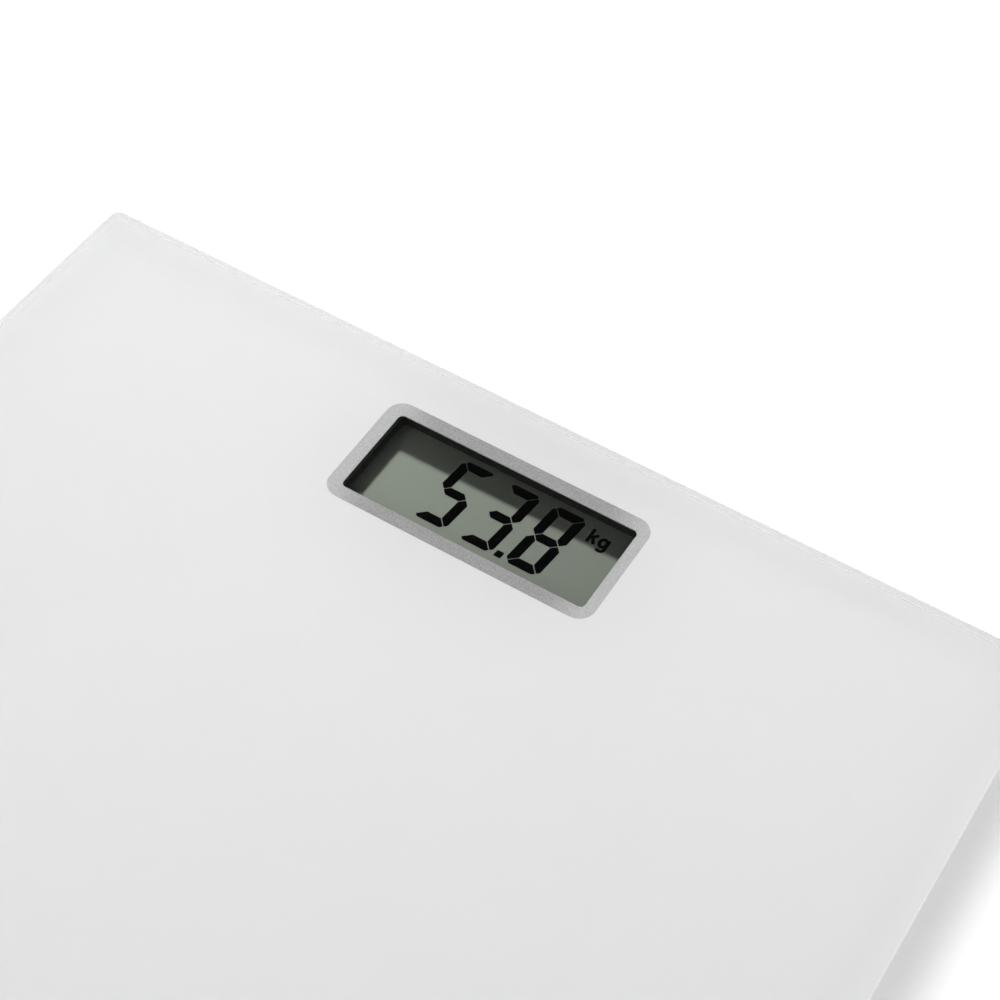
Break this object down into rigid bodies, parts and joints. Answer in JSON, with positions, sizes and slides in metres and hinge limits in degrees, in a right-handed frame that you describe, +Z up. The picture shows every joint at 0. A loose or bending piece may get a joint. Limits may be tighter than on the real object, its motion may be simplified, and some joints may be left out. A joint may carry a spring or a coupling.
{
  "type": "digital bathroom scale",
  "caption": "Flat square digital scale: printed glass platform with a liquid-crystal display window on a moulded tray with load-cell feet, a unit button and a coin-cell cover underneath.",
  "frame": {"origin": "on the floor under the middle of the platform, at the bottom of the rubber feet", "axes": "+X runs along the display to its reader's right, +Y towards the platform edge that the display is near, +Z up out of the standing surface"},
  "size_m": [0.3, 0.3, 0.0253],
  "materials": {
    "glass": "clear toughened glass with polished edges",
    "white_enamel": "smooth white printed enamel",
    "silver_ink": "fine-grained silver print",
    "foam_tape": "white closed-cell foam tape",
    "white_plastic": "white moulded plastic with a fine texture",
    "grey_plastic": "grey moulded plastic with a fine texture",
    "black_plastic": "black moulded plastic",
    "polariser_film": "grey-green polarising film",
    "display_glass": "clear thin glass",
    "reflector_foil": "diffusing silver foil",
    "zebra_rubber": "layered conductive rubber",
    "board_resin": "green solder mask on glass-fibre board",
    "black_epoxy": "black potting epoxy",
    "plated_steel": "zinc-plated steel",
    "nickel_spring": "nickel-plated spring metal",
    "silicone": "white silicone",
    "grey_rubber": "dark grey matt rubber",
    "red_wire": "red wire sheath",
    "black_wire": "black wire sheath",
    "white_wire": "white wire sheath"
  },
  "bodies": {
    "scale": {"base_tray": "white_plastic", "battery_lead_negative": "black_wire", "battery_lead_positive": "red_wire", "board_screw_1": "plated_steel", "board_screw_2": "plated_steel", "board_screw_3": "plated_steel", "board_screw_4": "plated_steel", "carrier_tape_far_left": "foam_tape", "carrier_tape_far_right": "foam_tape", "carrier_tape_near_left": "foam_tape", "carrier_tape_near_right": "foam_tape", "chip_coating": "black_epoxy", "circuit_board": "board_resin", "coin_cell": "plated_steel", "contact_negative": "nickel_spring", "contact_positive": "nickel_spring", "front_polariser": "polariser_film", "gauge_cover_far_left": "silicone", "gauge_cover_far_right": "silicone", "gauge_cover_near_left": "silicone", "gauge_cover_near_right": "silicone", "glass_plate": "glass", "lcd_front_glass": "display_glass", "lcd_rear_glass": "display_glass", "lcd_shroud": "black_plastic", "load_cell_carrier_far_left": "white_plastic", "load_cell_carrier_far_right": "white_plastic", "load_cell_carrier_near_left": "white_plastic", "load_cell_carrier_near_right": "white_plastic", "load_cell_far_left": "plated_steel", "load_cell_far_right": "plated_steel", "load_cell_near_left": "plated_steel", "load_cell_near_right": "plated_steel", "rear_reflector": "reflector_foil", "rim_tape": "foam_tape", "sensor_lead_far_left": "white_wire", "sensor_lead_far_right": "white_wire", "sensor_lead_near_left": "white_wire", "sensor_lead_near_right": "white_wire", "unit_switch": "plated_steel", "white_back_print": "white_enamel", "window_border": "silver_ink", "zebra_strip": "zebra_rubber"},
    "foot_far_left": {"foot_plunger_far_left": "grey_plastic", "foot_pad_far_left": "grey_rubber"},
    "foot_far_right": {"foot_plunger_far_right": "grey_plastic", "foot_pad_far_right": "grey_rubber"},
    "foot_near_left": {"foot_plunger_near_left": "grey_plastic", "foot_pad_near_left": "grey_rubber"},
    "foot_near_right": {"foot_plunger_near_right": "grey_plastic", "foot_pad_near_right": "grey_rubber"},
    "unit_button": {"unit_button": "grey_plastic", "switch_plunger": "black_plastic"},
    "battery_cover": {"battery_cover": "grey_plastic"}
  },
  "joints": [
    {"name": "foot_far_left_travel", "type": "slide", "parent": "scale", "child": "foot_far_left", "axis": [0, 0, 1], "range_m": [0, 0.0003], "stiffness_N_per_m": 1000, "springref_m": -0.006},
    {"name": "foot_far_right_travel", "type": "slide", "parent": "scale", "child": "foot_far_right", "axis": [0, 0, 1], "range_m": [0, 0.0003], "stiffness_N_per_m": 1000, "springref_m": -0.006},
    {"name": "foot_near_left_travel", "type": "slide", "parent": "scale", "child": "foot_near_left", "axis": [0, 0, 1], "range_m": [0, 0.0003], "stiffness_N_per_m": 1000, "springref_m": -0.006},
    {"name": "foot_near_right_travel", "type": "slide", "parent": "scale", "child": "foot_near_right", "axis": [0, 0, 1], "range_m": [0, 0.0003], "stiffness_N_per_m": 1000, "springref_m": -0.006},
    {"name": "unit_button_press", "type": "slide", "parent": "scale", "child": "unit_button", "axis": [0, 0, 1], "range_m": [0, 0.0005], "stiffness_N_per_m": 3000},
    {"name": "battery_cover_turn", "type": "hinge", "parent": "scale", "child": "battery_cover", "pos_m": [0.00045, 0.06645, 0.005], "axis": [0, 0, 1], "range_deg": [0, 45]}
  ]
}
